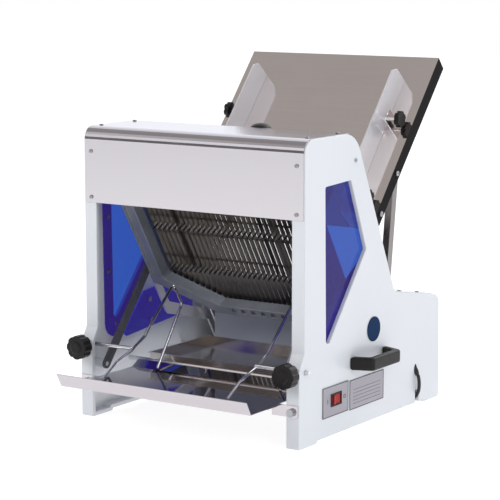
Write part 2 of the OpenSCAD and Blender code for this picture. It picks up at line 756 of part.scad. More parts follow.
module arm_rear_left() {
    color([0.35, 0.35, 0.38]) place() mirror([1, 0, 0]) arm(back_pivot, back_pin, 2);
}
module arm_rear_right() {
    color([0.35, 0.35, 0.38]) place() arm(back_pivot, back_pin, 2);
}

// Motor drive in the base
belt_x = motor_l / 2 + 20;
belt_w = 10;
belt_t = 4;
belt_gap = 0.4;
module drive_shaft() {
    color("gray") place() {
        x_rod(-x_wall + 1, x_wall - 1, shaft_at, shaft_d / 2);
        both() x_rod(front_yoke_x - 1, front_yoke_x + yoke_t + 1, shaft_at + lean_up * ecc, ecc_d / 2);
        both() x_rod(back_yoke_x - 1, back_yoke_x + yoke_t + 1, shaft_at - lean_up * ecc, ecc_d / 2);
        x_rod(belt_x, belt_x + belt_w + 2, shaft_at, pulley_d / 2);
    }
}
module motor() {
    color("dimgray") place() difference() {
        union() {
            x_rod(-motor_l / 2, motor_l / 2, motor_at, motor_d / 2);
            translate([-motor_l / 3, motor_at[0] - motor_d / 3, plate_z + 3])
                cube([motor_l / 1.5, motor_d / 1.5, motor_at[1] - plate_z - 3]);
        }
        x_rod(motor_l / 2 - 30, motor_l / 2 + 1, motor_at, 6 + run);
    }
}
module motor_pulley() {
    color("gray") place() {
        x_rod(motor_l / 2 - 28, belt_x + 1, motor_at, 6);
        x_rod(belt_x, belt_x + belt_w + 2, motor_at, motor_pulley_d / 2);
    }
}
// Belt outline round the two pulleys, grown by k
function belt_outline(k) =
    let (a = shaft_at, b = motor_at, ra = pulley_d / 2 + k, rb = motor_pulley_d / 2 + k)
    let (line = b - a, lay = atan2(line[1], line[0]), open = acos((ra - rb) / norm(line)))
    concat([for (i = [0 : 40]) let (w = lay + open + (360 - 2 * open) * i / 40) a + ra * [cos(w), sin(w)]],
        [for (i = [0 : 30]) let (w = lay - open + 2 * open * i / 30) b + rb * [cos(w), sin(w)]]);
module drive_belt() {
    color([0.1, 0.1, 0.1]) place() difference() {
        yz_slab(belt_x + 1, belt_x + 1 + belt_w) polygon(belt_outline(belt_gap + belt_t));
        yz_slab(belt_x, belt_x + 2 + belt_w) polygon(belt_outline(belt_gap));
    }
}

// Discharge tray, held by two ears in front of the feet
tray_half = x_in - 7.5;
tray_bend = 110;
tray_rise = 30;
tray_ramp = 25;
tray_inner = half_w - 45;
ear_x = half_w - 60;
ear_h = 22;
module tray() {
    ramp = tray_ramp * [cos(tray_rise), sin(tray_rise)];
    color([0.75, 0.73, 0.76]) place() {
        yz_slab(-tray_half, tray_half)
            polygon(strip([lip_top, lip_at, [0, tray_z]], -sheet_t));
        yz_slab(-tray_inner, tray_inner)
            polygon(strip([[-1, tray_z], [tray_bend, tray_z], [tray_bend, tray_z] + ramp], -sheet_t));
        both() translate([ear_x, -2, tray_z - sheet_t - ear_h])
            cube([half_w - 2 - ear_x, 2, ear_h + sheet_t / 2]);
    }
}
tray_screw = [half_w - 16, tray_z - 14];
module tray_screws() {
    color([0.15, 0.14, 0.14]) place() both() translate([tray_screw[0], -2, tray_screw[1]]) rotate([90, 0, 0])
        linear_extrude(7) lobed(8, 8, 0.8);
}
module crumb_pan() {
    pan_half = back_half - 20;
    pan_y = 135;
    pan_z = tie_points[1][1] + tie_r + clear;
    color([0.82, 0.78, 0.72]) place() difference() {
        union() {
            translate([-pan_half + 4, pan_y + 4, pan_z]) cube([2 * pan_half - 8, pan_l - 8, pan_h]);
            translate([-pan_half, pan_y, pan_z + pan_h - sheet_t]) cube([2 * pan_half, pan_l, sheet_t]);
        }
        translate([-pan_half + 4 + sheet_t, pan_y + 4 + sheet_t, pan_z + sheet_t])
            cube([2 * (pan_half - 4 - sheet_t), pan_l - 8 - 2 * sheet_t, pan_h]);
    }
}

// Wire fences: a bent wire hairpin on a rod that slides through the side frame
rail_x = [half_w - 120 + rail_out, half_w - 123 + rail_out];
rail_end = rail_in - 12;
rail_wire = [[-72, 101], [-30, 126], rod_at - [0, 4], [66, 163], [86, 183], [166, 256], [196, 211],
    [tray_bend - 0.5, tray_z + 4.5]];
rail_stud_r = 4;
rail_knob_x = (x_in + x_wall) / 2 + 4;
module rail(x) {
    path = bent(rail_wire, 9, 3);
    x_rod(x, half_w + rail_end, rod_at, rail_d / 2);
    translate([x, 0, 0]) tube([for (p = path) [0, p[0], p[1]]], rail_d / 2 - 1, 10, [1, 0, 0]);
}
module rail_left() {
    color("silver") place() mirror([1, 0, 0]) rail(rail_x[0]);
}
module rail_right() {
    color("silver") place() rail(rail_x[1]);
}
module rail_knob() {
    translate([rail_knob_x, 0, rod_at[1]]) rotate([90, 0, 0]) {
        translate([0, 0, -rod_at[0] + rail_d / 2 + slack]) cylinder(h = rod_at[0], r = rail_stud_r);
        translate([0, 0, clear]) cylinder(h = 14, r = rail_knob_d / 4);
        translate([0, 0, 13]) linear_extrude(22) lobed(rail_knob_d / 2, 8, 1.8);
        translate([0, 0, 34]) cylinder(h = 5, r1 = rail_knob_d / 3, r2 = rail_knob_d / 5);
    }
}
module rail_knob_left() {
    color([0.15, 0.14, 0.14]) place() mirror([1, 0, 0]) rail_knob();
}
module rail_knob_right() {
    color([0.15, 0.14, 0.14]) place() rail_knob();
}

// Switch, plates, badge and handles on the outer faces
handle_y = 184;
handle_z = 134.5;
handle_splay = 17;
switch_l = rocker_l + 3;
switch_h = 19.5;
rocker_x = half_w - 4;
rocker_pin = 1.5;
rocker_top = 6;
rocker_end = rocker_l / 2 - 1.5;
rocker_rise = rocker_end * tan(rocker_tilt);
bezel = 3;
sign_size = [95, 60];
sign_at = switch_at - [49.3, 31.5];
module switch_plate() {
    color([0.7, 0.68, 0.72]) place() difference() {
        union() {
            translate([half_w, sign_at[0], sign_at[1]]) cube([1.2, sign_size[0], sign_size[1]]);
            translate([half_w, switch_at[0] - switch_l / 2 - bezel, switch_at[1] - switch_h / 2 - bezel])
                cube([3, switch_l + 2 * bezel, switch_h + 2 * bezel]);
        }
        translate([half_w - 1, switch_at[0] - switch_l / 2, switch_at[1] - switch_h / 2])
            cube([6, switch_l, switch_h]);
    }
}
module switch_rocker() {
    color([0.75, 0.12, 0.12]) place() translate([rocker_x, switch_at[0], switch_at[1]]) {
        translate([0, 0, -switch_h / 2 + 2 * clear]) linear_extrude(switch_h - 4 * clear)
            polygon([[-2.5, -rocker_l / 2], [rocker_top + rocker_rise, -rocker_end], [rocker_top, 0],
                [rocker_top, rocker_l / 2], [-2.5, rocker_l / 2]]);
        translate([0, 0, -switch_h / 2 - 1]) cylinder(h = switch_h + 2, r = rocker_pin);
    }
}
rating_at = [handle_y, foot_h + 36.5];
rating_size = [132, 59.5];
module rating_plate() {
    color([0.7, 0.68, 0.72]) place() translate([half_w, rating_at[0], rating_at[1]])
        cube([0.8, rating_size[0], rating_size[1]]);
}
disc_at = [handle_y + 91.4, handle_z + 54.7];
module side_disc() {
    color([0.1, 0.24, 0.41]) place() x_rod(half_w, half_w + 1.5, disc_at, disc_d / 2);
}
module handle() {
    x1 = half_w + handle_reach;
    y1 = handle_y + handle_l;
    arm = unit([handle_reach, handle_splay]);
    edge = [half_w, handle_y] + [-arm[1], arm[0]] * handle_t;
    root = meet(edge, arm, [half_w - 9, 0], [0, 1]);
    bend = meet(edge, arm, [x1 - handle_t, 0], [0, 1]);
    flip = [0, handle_y + y1];
    outer = [[half_w, handle_y], [x1, handle_y + handle_splay], [x1, y1 - handle_splay], [half_w, y1]];
    inner = [root, bend, flip + [bend[0], -bend[1]], flip + [root[0], -root[1]]];
    translate([0, 0, handle_z - handle_h / 2]) linear_extrude(handle_h) difference() {
        polygon(rounded(outer, [0, 9, 9, 0], 8));
        polygon(rounded(inner, [0, 5, 5, 0], 8));
    }
}
module handle_left() {
    color([0.12, 0.11, 0.11]) place() mirror([1, 0, 0]) handle();
}
module handle_right() {
    color([0.12, 0.11, 0.11]) place() handle();
}

// Cord: out of its gland in the right frame, down under the frame to a coil behind the base
cord_at = [half_w, cord_y, 0];
gland_end = exit_at + exit_dir * gland_out - cord_at;
coil_low = 4.5;
lead_steps = [gland_end + 0.02 * exit_dir, gland_end + 3.1 * exit_dir, gland_end + 6.2 * exit_dir,
    [7.2, 7.8, 50], [6.6, 9.3, 38], [3.4, 11, 26.5], [-3.5, 12.8, 16.5], [-14, 14.6, 9.3], [-28, 16.6, 5.4],
    [-46, 19.5, coil_low], [-65, 22, coil_low], [-100, 37, coil_low], [-135, 70, coil_low],
    [-154, 115, coil_low], [-155, 150, coil_low], [-155, 157, coil_low]];
lead_route = [for (p = lead_steps) cord_at + p];
coil_at = [half_w - 200, cord_y + 162];
coil_r = 45;
coil_step = 7.6;
coil_turns = 3;
coil_rings = 24;
coil_last = 2 * coil_turns * coil_rings;
function coil_point(i) =
    let (half = coil_turns * coil_rings, k = min(i, coil_last - i), w = 360 * i / coil_rings)
    let (r = coil_r - coil_step * k / coil_rings)
    let (rise = min(1, max(0, (i - half + coil_rings / 4) / (coil_rings / 2))))
    [coil_at[0] + r * cos(w), coil_at[1] + r * sin(w), coil_low + coil_step * rise];
tail_z = coil_low + coil_step;
tail_steps = [[-155, 169, tail_z], [-155, 176, tail_z], [-155, 193, tail_z], [-157.6, 206, tail_z],
    [-165, 217, tail_z], [-176, 224.4, tail_z], [-189, 227, tail_z], [-198, 227, tail_z]];
tail_route = [for (p = tail_steps) cord_at + p];
coil_path = concat([lead_route[15]], [for (i = [0 : coil_last]) coil_point(i)], [tail_route[0]]);
coil_gap = min([for (i = [0 : coil_last], j = [i + coil_rings / 2 : coil_last])
    norm(coil_point(i) - coil_point(j))]) - cord_d;
echo("least gap between the coil's turns", coil_gap);
gland_taper = [[0, 0], [gland_r, 0], [gland_r, gland_in + gland_out / 3],
    [cord_d / 2 + 0.6, gland_in + gland_out], [0, gland_in + gland_out]];
module cord_gland() {
    color([0.1, 0.1, 0.1]) place() translate(exit_at - exit_dir * gland_in) rotate(gland_turn)
        rotate_extrude() polygon(gland_taper);
}
module cord_lead() {
    color([0.1, 0.1, 0.1]) place() tube(smooth(lead_route, 3), cord_d / 2, 10, [0, 1, 0]);
}
module cord_coil() {
    color([0.1, 0.1, 0.1]) place() tube(coil_path, cord_d / 2, 6, [0, 0, 1]);
}
module cord_tail() {
    color([0.1, 0.1, 0.1]) place() tube(smooth(tail_route, 3), cord_d / 2, 10, [0, 0, 1]);
}
module cord_tie() {
    r0 = coil_r - coil_step * coil_turns - cord_d / 2 - 1.5;
    r1 = coil_r + cord_d / 2 + 1.5;
    z1 = tail_z + cord_d / 2 + 0.6;
    color([0.2, 0.2, 0.2]) place() translate([coil_at[0] - r1, coil_at[1] - 4, 0.2]) difference() {
        cube([r1 - r0, 8, z1 + 0.4]);
        translate([0.8, -1, 0.5]) cube([r1 - r0 - 1.6, 10, z1 - 0.6]);
    }
}
plug_l = 42;
module plug() {
    color([0.1, 0.1, 0.1]) place() translate(tail_route[7]) rotate([0, -90, 0]) {
        cylinder(h = 14, r1 = 6, r2 = 9);
        translate([0, 0, 13]) cylinder(h = plug_l - 13, r = 11.5);
        for (k = [-1, 1]) translate([0, 9 * k / 1.5, plug_l - 1]) cylinder(h = 19, r = 2.4);
    }
}

side_frame_left();
side_frame_right();
tie_rods();
base_plate();
base_front_panel();
base_cover();
front_cover();
cover_screws();
windows();
guards();
window_screws();
frame_pads();
chute();
chute_struts();
chute_brackets();
chute_bolts();
guide_left();
guide_right();
guide_knob_left_lower();
guide_knob_left_upper();
guide_knob_right_lower();
guide_knob_right_upper();
blade_frame_front();
blades_front();
con_rods_front();
blade_frame_rear();
blades_rear();
con_rods_rear();
pusher_comb();
pusher_grip();
arm_front_left();
arm_front_right();
arm_rear_left();
arm_rear_right();
drive_shaft();
motor();
motor_pulley();
drive_belt();
tray();
tray_screws();
crumb_pan();
rail_left();
rail_right();
rail_knob_left();
rail_knob_right();
switch_plate();
switch_rocker();
rating_plate();
side_disc();
handle_left();
handle_right();
cord_gland();
cord_lead();
cord_coil();
cord_tail();
cord_tie();
plug();
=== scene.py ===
import json
import logging
import math
from dataclasses import dataclass, field
from enum import Enum
from typing import Any, Callable, Optional, Sequence, Union

import bpy
from mathutils import Matrix, Vector

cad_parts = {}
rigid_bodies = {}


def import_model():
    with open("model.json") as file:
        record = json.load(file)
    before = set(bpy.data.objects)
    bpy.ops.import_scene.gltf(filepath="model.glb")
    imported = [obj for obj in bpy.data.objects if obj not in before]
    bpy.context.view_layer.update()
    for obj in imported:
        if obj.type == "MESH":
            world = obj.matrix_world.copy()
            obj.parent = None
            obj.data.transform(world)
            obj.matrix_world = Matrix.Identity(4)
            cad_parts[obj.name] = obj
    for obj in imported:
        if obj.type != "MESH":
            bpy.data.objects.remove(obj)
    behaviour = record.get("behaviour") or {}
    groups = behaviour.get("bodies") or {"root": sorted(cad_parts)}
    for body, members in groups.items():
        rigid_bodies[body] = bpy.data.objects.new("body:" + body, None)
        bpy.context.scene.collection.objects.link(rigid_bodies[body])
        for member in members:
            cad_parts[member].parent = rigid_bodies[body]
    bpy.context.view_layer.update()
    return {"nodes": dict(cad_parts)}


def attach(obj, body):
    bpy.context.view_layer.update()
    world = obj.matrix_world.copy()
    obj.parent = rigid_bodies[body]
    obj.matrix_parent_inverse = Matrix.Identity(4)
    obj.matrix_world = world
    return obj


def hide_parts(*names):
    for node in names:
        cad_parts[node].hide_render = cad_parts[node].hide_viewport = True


LOG = logging.getLogger("bread_slicer")
MM = 0.001
# Points closer than this, in metres, are one point, and faces within this angle are one face.
MERGE = 0.00001
FLAT = math.radians(0.6)
# A face looks along an axis where that part of its normal is larger than this.
ALIGNED = 0.9
# Weight of large faces in the shading, as the modifier counts it.
FACE_WEIGHT = 100
# Places of sockets: object coordinates, and the colours and result of a Mix node.
OBJECT_COORDS = 3
MIX_FIRST, MIX_SECOND, MIX_RESULT = 6, 7, 2

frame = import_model()
NODES: dict[str, bpy.types.Object] = frame["nodes"]
# The drawing's Y = 0 lies on the front feet; the row frame is centred on the footprint.
FRONT_TO_MIDDLE = 241.699
Point = Sequence[float]


def at(x: float, y: float, z: float) -> Vector:
    """Returns: the row-frame point in metres of a point in the drawing's millimetres."""
    return Vector((x, y - FRONT_TO_MIDDLE, z)) * MM


class Sock:
    """A shader socket on which arithmetic adds Math nodes."""

    def __init__(self, tree: "Paint", link: Any) -> None:
        """Args: tree: the paint that owns the socket. link: the output socket."""
        self.tree = tree
        self.link = link

    def _math(self, operation: str, first: Any, second: Any) -> "Sock":
        """Adds one Math node and returns its result."""
        return self.tree.node("ShaderNodeMath", {"operation": operation}, {0: first, 1: second})

    def __add__(self, other: Any) -> "Sock":
        """self + other."""
        return self._math("ADD", self, other)

    __radd__ = __add__

    def __mul__(self, other: Any) -> "Sock":
        """self * other."""
        return self._math("MULTIPLY", self, other)

    __rmul__ = __mul__


class Paint:
    """Node tree of one material, with a Principled shader at its end."""

    def __init__(self, name: str) -> None:
        """Makes an empty material.

        Args:
            name: the material's name.
        """
        self.material = bpy.data.materials.new(name)
        self.material.use_nodes = True
        self.tree = self.material.node_tree
        self.shader = self.tree.nodes["Principled BSDF"]

    def node(self, kind: str, settings: Optional[dict[str, Any]] = None,
             inputs: Optional[dict[Any, Any]] = None, output: int = 0) -> Sock:
        """Adds a node.

        Args:
            kind: the node's type.
            settings: values set on the node first.
            inputs: values or links of its sockets, by name or place.
            output: which of its outputs comes back.

        Returns:
            The chosen output.
        """
        made = self.tree.nodes.new(kind)
        for key, value in (settings or {}).items():
            setattr(made, key, value)
        for key, value in (inputs or {}).items():
            self.put(made.inputs[key], value)
        return Sock(self, made.outputs[output])

    def put(self, socket: Any, value: Any) -> None:
        """Links or sets one socket.

        Args:
            socket: the input socket.
            value: a link, a number, a vector or a colour.
        """
        if isinstance(value, Sock):
            self.tree.links.new(value.link, socket)
        elif isinstance(value, (tuple, list)) and len(value) == 3 and socket.type == "RGBA":
            socket.default_value = (*value, 1.0)
        else:
            socket.default_value = value

    def set(self, **values: Any) -> None:
        """Sets sockets of the Principled shader.

        Args:
            values: value or link by the socket's name, with underscores for spaces.
        """
        for key, value in values.items():
            self.put(self.shader.inputs[key.replace("_", " ")], value)

    def place(self, scale: Point = (1, 1, 1), turn: Point = (0, 0, 0)) -> Sock:
        """Object coordinates, turned and then stretched.

        Args:
            scale: stretch along each axis.
            turn: rotation in degrees.

        Returns:
            The mapped coordinates.
        """
        where = self.node("ShaderNodeTexCoord", output=OBJECT_COORDS)
        turned = self.node("ShaderNodeMapping", {}, {"Vector": where,
                           "Rotation": tuple(math.radians(t) for t in turn)})
        return self.node("ShaderNodeMapping", {}, {"Vector": turned, "Scale": tuple(scale)})

    def noise(self, where: Sock, scale: float, detail: float = 2.0, rough: float = 0.5) -> Sock:
        """Noise between 0 and 1 at the given place and scale."""
        return self.node("ShaderNodeTexNoise", {}, {"Vector": where, "Scale": scale, "Detail": detail,
                         "Roughness": rough})

    def ramp(self, value: Sock, low: float, high: float) -> Sock:
        """Stretches value so that low becomes 0 and high becomes 1, held at both ends."""
        return self.node("ShaderNodeMapRange", {"clamp": True},
                         {"Value": value, "From Min": low, "From Max": high})

    def mix(self, factor: Any, first: Any, second: Any) -> Sock:
        """Colour mix of first and second."""
        return self.node("ShaderNodeMix", {"data_type": "RGBA"},
                         {0: factor, MIX_FIRST: first, MIX_SECOND: second}, output=MIX_RESULT)

    def bump(self, height: Sock, distance: float) -> None:
        """Feeds a bump of the given depth in metres, at full strength, to the shader."""
        self.set(Normal=self.node("ShaderNodeBump", {}, {"Height": height, "Distance": distance,
                                  "Strength": 1.0}))


class Grain(Enum):
    """Direction of a brushed sheet's grain, as the stretch of its noise."""

    ACROSS = (6.0, 900.0, 900.0)
    ALONG = (900.0, 8.0, 900.0)
    UPRIGHT = (900.0, 900.0, 6.0)


@dataclass(frozen=True)
class Coat:
    """Smooth powder coat with a faint orange peel."""

    name: str
    colour: Point
    shade: Point
    roughness: float = 0.32
    peel: float = 0.00010
    cloud_scale: float = 5.0
    peel_scale: float = 420.0
    dust_scale: float = 60.0
    dust_rough: float = 0.12
    lacquer: float = 0.25
    lacquer_rough: float = 0.12

    def make(self) -> bpy.types.Material:
        """Paints the finish.

        Returns:
            The material.
        """
        paint = Paint(self.name)
        where = paint.place()
        cloud = paint.noise(where, self.cloud_scale, 3.0)
        peel = paint.noise(where, self.peel_scale, 2.0)
        dust = paint.ramp(paint.noise(where, self.dust_scale, 6.0, 0.7), 0.55, 0.85)
        paint.set(Base_Color=paint.mix(paint.ramp(cloud, 0.35, 0.75), self.colour, self.shade),
                  Roughness=dust * self.dust_rough + self.roughness, Coat_Weight=self.lacquer,
                  Coat_Roughness=self.lacquer_rough)
        paint.bump(peel, self.peel)
        return paint.material


@dataclass(frozen=True)
class Brushed:
    """Brushed or polished metal sheet with a fine directional grain and faint smears."""

    name: str
    colour: Point
    shade: Point
    grain: Grain = Grain.ACROSS
    roughness: float = 0.24
    spread: float = 0.12
    depth: float = 0.000015
    metal: float = 1.0
    smear_scale: float = 7.0

    def make(self) -> bpy.types.Material:
        """Paints the finish.

        Returns:
            The material.
        """
        paint = Paint(self.name)
        lines = paint.noise(paint.place(self.grain.value), 1.0, 4.0, 0.65)
        smear = paint.noise(paint.place(), self.smear_scale, 4.0, 0.6)
        tone = paint.ramp(lines * 0.6 + smear * 0.4, 0.35, 0.7)
        paint.set(Base_Color=paint.mix(tone, self.shade, self.colour), Metallic=self.metal,
                  Roughness=paint.ramp(lines * 0.5 + smear * 0.5, 0.3, 0.7) * self.spread + self.roughness)
        paint.bump(lines, self.depth)
        return paint.material


@dataclass(frozen=True)
class Cast:
    """Grained casting or moulding: a mottled colour with a pebbled surface."""

    name: str
    colour: Point
    shade: Point
    metal: float = 0.0
    roughness: float = 0.45
    scale: float = 260.0
    depth: float = 0.00018
    specular: float = 0.5
    cloud_size: float = 12.0
    spread: float = 0.14

    def make(self) -> bpy.types.Material:
        """Paints the finish.

        Returns:
            The material.
        """
        paint = Paint(self.name)
        where = paint.place()
        grit = paint.noise(where, self.scale, 3.0, 0.6)
        cloud = paint.noise(where, self.scale / self.cloud_size, 4.0, 0.6)
        tone = paint.ramp(cloud * 0.65 + grit * 0.35, 0.36, 0.66)
        paint.set(Base_Color=paint.mix(tone, self.shade, self.colour), Metallic=self.metal,
                  Roughness=tone * self.spread + self.roughness, Specular_IOR_Level=self.specular)
        paint.bump(grit, self.depth)
        return paint.material


@dataclass(frozen=True)
class Tint:
    """Clear sheet tinted in the mass, with faint wipe marks and a painted bluish glow: an emission that
    paints light on the sheet, though it is no lamp.
    """

    name: str
    colour: Point
    shade: Point
    # Painted light: the sheet glows with this bluish purple, though it is no lamp.
    painted_glow: Point = (0.026, 0.012, 0.095)
    painted_glow_strength: float = 1.0
    ior: float = 1.2
    roughness: float = 0.015
    wiped: float = 0.06
    wipe_stretch: Point = (30, 4, 30)
    wipe_turn: Point = (25, 0, 0)

    def make(self) -> bpy.types.Material:
        """Paints the finish.

        Returns:
            The material.
        """
        paint = Paint(self.name)
        cloud = paint.noise(paint.place(), 4.0, 3.0)
        wipe = paint.noise(paint.place(self.wipe_stretch, self.wipe_turn), 6.0, 5.0, 0.7)
        # The emission paints a bluish glow on the sheet: painted light.
        paint.set(Base_Color=paint.mix(paint.ramp(cloud, 0.35, 0.7), self.colour, self.shade),
                  Roughness=paint.ramp(wipe, 0.5, 0.85) * self.wiped + self.roughness,
                  Transmission_Weight=1.0, IOR=self.ior, Emission_Color=self.painted_glow,
                  Emission_Strength=self.painted_glow_strength)
        return paint.material


@dataclass(frozen=True)
class Sweep:
    """Studio paper: matt, nearly white and a little lit through."""

    name: str
    colour: Point
    shade: Point
    glow: float = 0.80
    glow_colour: Point = (1.0, 1.0, 1.0)
    roughness: float = 0.8
    specular: float = 0.1

    def make(self) -> bpy.types.Material:
        """Paints the finish.

        Returns:
            The material.
        """
        paint = Paint(self.name)
        cloud = paint.noise(paint.place(), 3.0, 2.0)
        tone = paint.mix(cloud, self.colour, self.shade)
        paint.set(Base_Color=tone, Roughness=self.roughness, Specular_IOR_Level=self.specular,
                  Emission_Color=self.glow_colour, Emission_Strength=self.glow)
        return paint.material


WHITE = Coat("white_coat", (0.69, 0.72, 0.76), (0.655, 0.685, 0.73))
DARK_COAT = Coat("dark_coat", (0.05, 0.05, 0.055), (0.035, 0.035, 0.04), 0.5, 0.0002)
BLACK_WIRE = Coat("black_wire_coat", (0.022, 0.022, 0.025), (0.035, 0.035, 0.04), 0.34, 0.0001)
COVER_SHEET = Brushed("cover_sheet", (0.62, 0.60, 0.63), (0.575, 0.555, 0.585), Grain.ACROSS, 0.14, 0.08,
                      0.000005)
CHUTE_SHEET = Brushed("chute_sheet", (0.93, 0.88, 0.86), (0.86, 0.81, 0.79), Grain.ACROSS, 0.055, 0.05,
                      0.000006)
GUIDE_SHEET = Brushed("guide_sheet", (0.90, 0.90, 0.95), (0.84, 0.84, 0.89), Grain.ALONG, 0.18, 0.10,
                      0.00001, 0.5)
TRAY_SHEET = Brushed("tray_sheet", (0.62, 0.585, 0.62), (0.57, 0.54, 0.57), Grain.ACROSS, 0.03, 0.04,
                     0.000003)
CHROME = Brushed("chrome_wire", (0.78, 0.78, 0.80), (0.68, 0.68, 0.70), Grain.ALONG, 0.07, 0.08, 0.000006)
PAN_SHEET = Brushed("pan_sheet", (0.80, 0.75, 0.72), (0.77, 0.72, 0.69), Grain.ACROSS, 0.13, 0.04,
                    0.000002)
STEEL = Brushed("plain_steel", (0.55, 0.55, 0.57), (0.42, 0.42, 0.44), Grain.ACROSS, 0.26, 0.14, 0.00002)
BLADE_STEEL = Brushed("blade_steel", (0.20, 0.175, 0.155), (0.09, 0.08, 0.072), Grain.UPRIGHT, 0.28, 0.16,
                      0.00002, 0.85)
SCREW_STEEL = Brushed("screw_steel", (0.50, 0.50, 0.52), (0.36, 0.36, 0.38), Grain.ACROSS, 0.22, 0.2, 0.00002)
PLATE_METAL = Brushed("plate_metal", (0.37, 0.355, 0.395), (0.32, 0.305, 0.345), Grain.ALONG, 0.34, 0.10,
                      0.00001, 0.8)
CAST_METAL = Cast("cast_metal", (0.35, 0.375, 0.42), (0.26, 0.28, 0.325), 0.5, 0.42, 300.0, 0.00022)
MOTOR_IRON = Cast("motor_iron", (0.10, 0.105, 0.115), (0.06, 0.062, 0.07), 0.3, 0.5, 220.0, 0.0003)
BLACK_PLASTIC = Cast("black_plastic", (0.010, 0.0085, 0.0085), (0.006, 0.005, 0.005), 0.0, 0.36, 700.0,
                     0.00005, 0.28)
FIBRE = Cast("fibre_board", (0.115, 0.12, 0.14), (0.075, 0.078, 0.09), 0.0, 0.5, 500.0, 0.0001)
NYLON = Cast("nylon", (0.66, 0.65, 0.60), (0.58, 0.57, 0.52), 0.0, 0.5, 500.0, 0.00006)
RUBBER = Cast("cord_rubber", (0.018, 0.017, 0.017), (0.011, 0.011, 0.011), 0.0, 0.55, 900.0, 0.00005)
RED_LENS = Cast("red_lens", (0.40, 0.012, 0.011), (0.31, 0.008, 0.008), 0.0, 0.36, 600.0, 0.00003, 0.15)
BADGE = Cast("badge_blue", (0.010, 0.036, 0.105), (0.007, 0.028, 0.085), 0.0, 0.5, 400.0, 0.00003, 0.05)
MARK_DARK = Coat("mark_dark", (0.045, 0.045, 0.05), (0.03, 0.03, 0.035), 0.45, 0.00003)
# The window and guard sheets carry the painted bluish glow of Tint.
WINDOW = Tint("window_tint", (0.005, 0.068, 0.262), (0.004, 0.060, 0.236))
BLACK_FLANGE = Cast("black_flange", (0.012, 0.010, 0.010), (0.007, 0.006, 0.006), 0.0, 0.5, 500.0, 0.00004,
                    0.06)
GREY_COAT = Coat("grey_coat", (0.40, 0.43, 0.49), (0.34, 0.37, 0.43), 0.4)
STRUT_STEEL = Brushed("strut_steel", (0.30, 0.28, 0.27), (0.24, 0.225, 0.22), Grain.UPRIGHT, 0.2, 0.1,
                      0.00001)
FLOOR = Sweep("studio_floor", (0.42, 0.42, 0.42), (0.40, 0.40, 0.405))

Finish = Union[Coat, Brushed, Cast, Tint, Sweep]
_made: dict[str, bpy.types.Material] = {}


def material(finish: Finish) -> bpy.types.Material:
    """Material of a finish, made once.

    Args:
        finish: the finish.

    Returns:
        Its material.
    """
    if finish.name not in _made:
        _made[finish.name] = finish.make()
    return _made[finish.name]


def dress(obj: bpy.types.Object, finish: Finish) -> bpy.types.Object:
    """Gives the whole object one finish.

    Args:
        obj: the mesh or curve object.
        finish: the finish for all its slots.

    Returns:
        The same object.
    """
    if not obj.material_slots:
        obj.data.materials.append(material(finish))
    for slot in obj.material_slots:
        slot.material = material(finish)
    return obj


def deselect() -> None:
    """Leaves edit mode and selects nothing."""
    if bpy.context.object and bpy.context.object.mode != "OBJECT":
        bpy.ops.object.mode_set(mode="OBJECT")
    for obj in bpy.context.view_layer.objects:
        obj.select_set(False)


def focus(obj: bpy.types.Object) -> bpy.types.Object:
    """Makes one object the only selected and the active one.

    Args:
        obj: the object.

    Returns:
        The same object.
    """
    deselect()
    obj.select_set(True)
    bpy.context.view_layer.objects.active = obj
    return obj


def added(name: str) -> bpy.types.Object:
    """Names the object that an operator has just added.

    Args:
        name: the name of the object and its data.

    Returns:
        The object.
    """
    obj = bpy.context.object
    obj.name = name
    obj.data.name = name
    return obj


def settle(obj: bpy.types.Object) -> bpy.types.Object:
    """Moves an object's place, turn and scale into its mesh.

    Args:
        obj: the object.

    Returns:
        The same object.
    """
    focus(obj)
    bpy.ops.object.transform_apply(location=True, rotation=True, scale=True)
    return obj


def pick_faces(obj: bpy.types.Object, test: Callable[[Vector, Vector], bool]) -> None:
    """Selects the faces that pass a test, in edit mode.

    Args:
        obj: the mesh object.
        test: called with a face's centre and normal.
    """
    focus(obj)
    bpy.ops.object.mode_set(mode="EDIT")
    bpy.ops.mesh.select_mode(type="FACE")
    bpy.ops.mesh.select_all(action="DESELECT")
    bpy.ops.object.mode_set(mode="OBJECT")
    for face in obj.data.polygons:
        face.select = bool(test(face.center, face.normal))
    bpy.ops.object.mode_set(mode="EDIT")


def modify(obj: bpy.types.Object, kind: str, **settings: Any) -> bpy.types.Object:
    """Adds a modifier, sets it and applies it.

    Args:
        obj: the mesh object.
        kind: the modifier's type.
        settings: its values.

    Returns:
        The same object.
    """
    focus(obj)
    change = obj.modifiers.new(kind.lower(), kind)
    for key, value in settings.items():
        setattr(change, key, value)
    bpy.ops.object.modifier_apply(modifier=change.name)
    return obj


def soft_edges(obj: bpy.types.Object, width: float, segments: int = 3, angle: float = 35.0,
               clamp: bool = False, smooth: float = 32.0) -> bpy.types.Object:
    """Bevels the sharp edges of a mesh and shades it smooth, with flat faces kept flat.

    Args:
        obj: the mesh object.
        width: width of the bevel in metres, or 0 for none.
        segments: faces across the bevel.
        angle: least angle of an edge that is bevelled.
        clamp: whether the bevel stops where neighbours would meet.
        smooth: largest angle that is shaded smooth.

    Returns:
        The same object.
    """
    if width > 0:
        modify(obj, "BEVEL", width=width, segments=segments, limit_method="ANGLE",
               angle_limit=math.radians(angle), use_clamp_overlap=clamp)
    focus(obj)
    bpy.ops.object.shade_smooth_by_angle(angle=math.radians(smooth))
    return modify(obj, "WEIGHTED_NORMAL", mode="FACE_AREA", weight=FACE_WEIGHT, keep_sharp=True)


def ride(obj: bpy.types.Object, body: str, finish: Finish) -> bpy.types.Object:
    """Dresses a finished piece and lets it ride on a body.

    Args:
        obj: the piece.
        body: the body's name.
        finish: the piece's finish.

    Returns:
        The same piece.
    """
    dress(obj, finish)
    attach(obj, body)
    LOG.info("%s rides on %s", obj.name, body)
    return obj


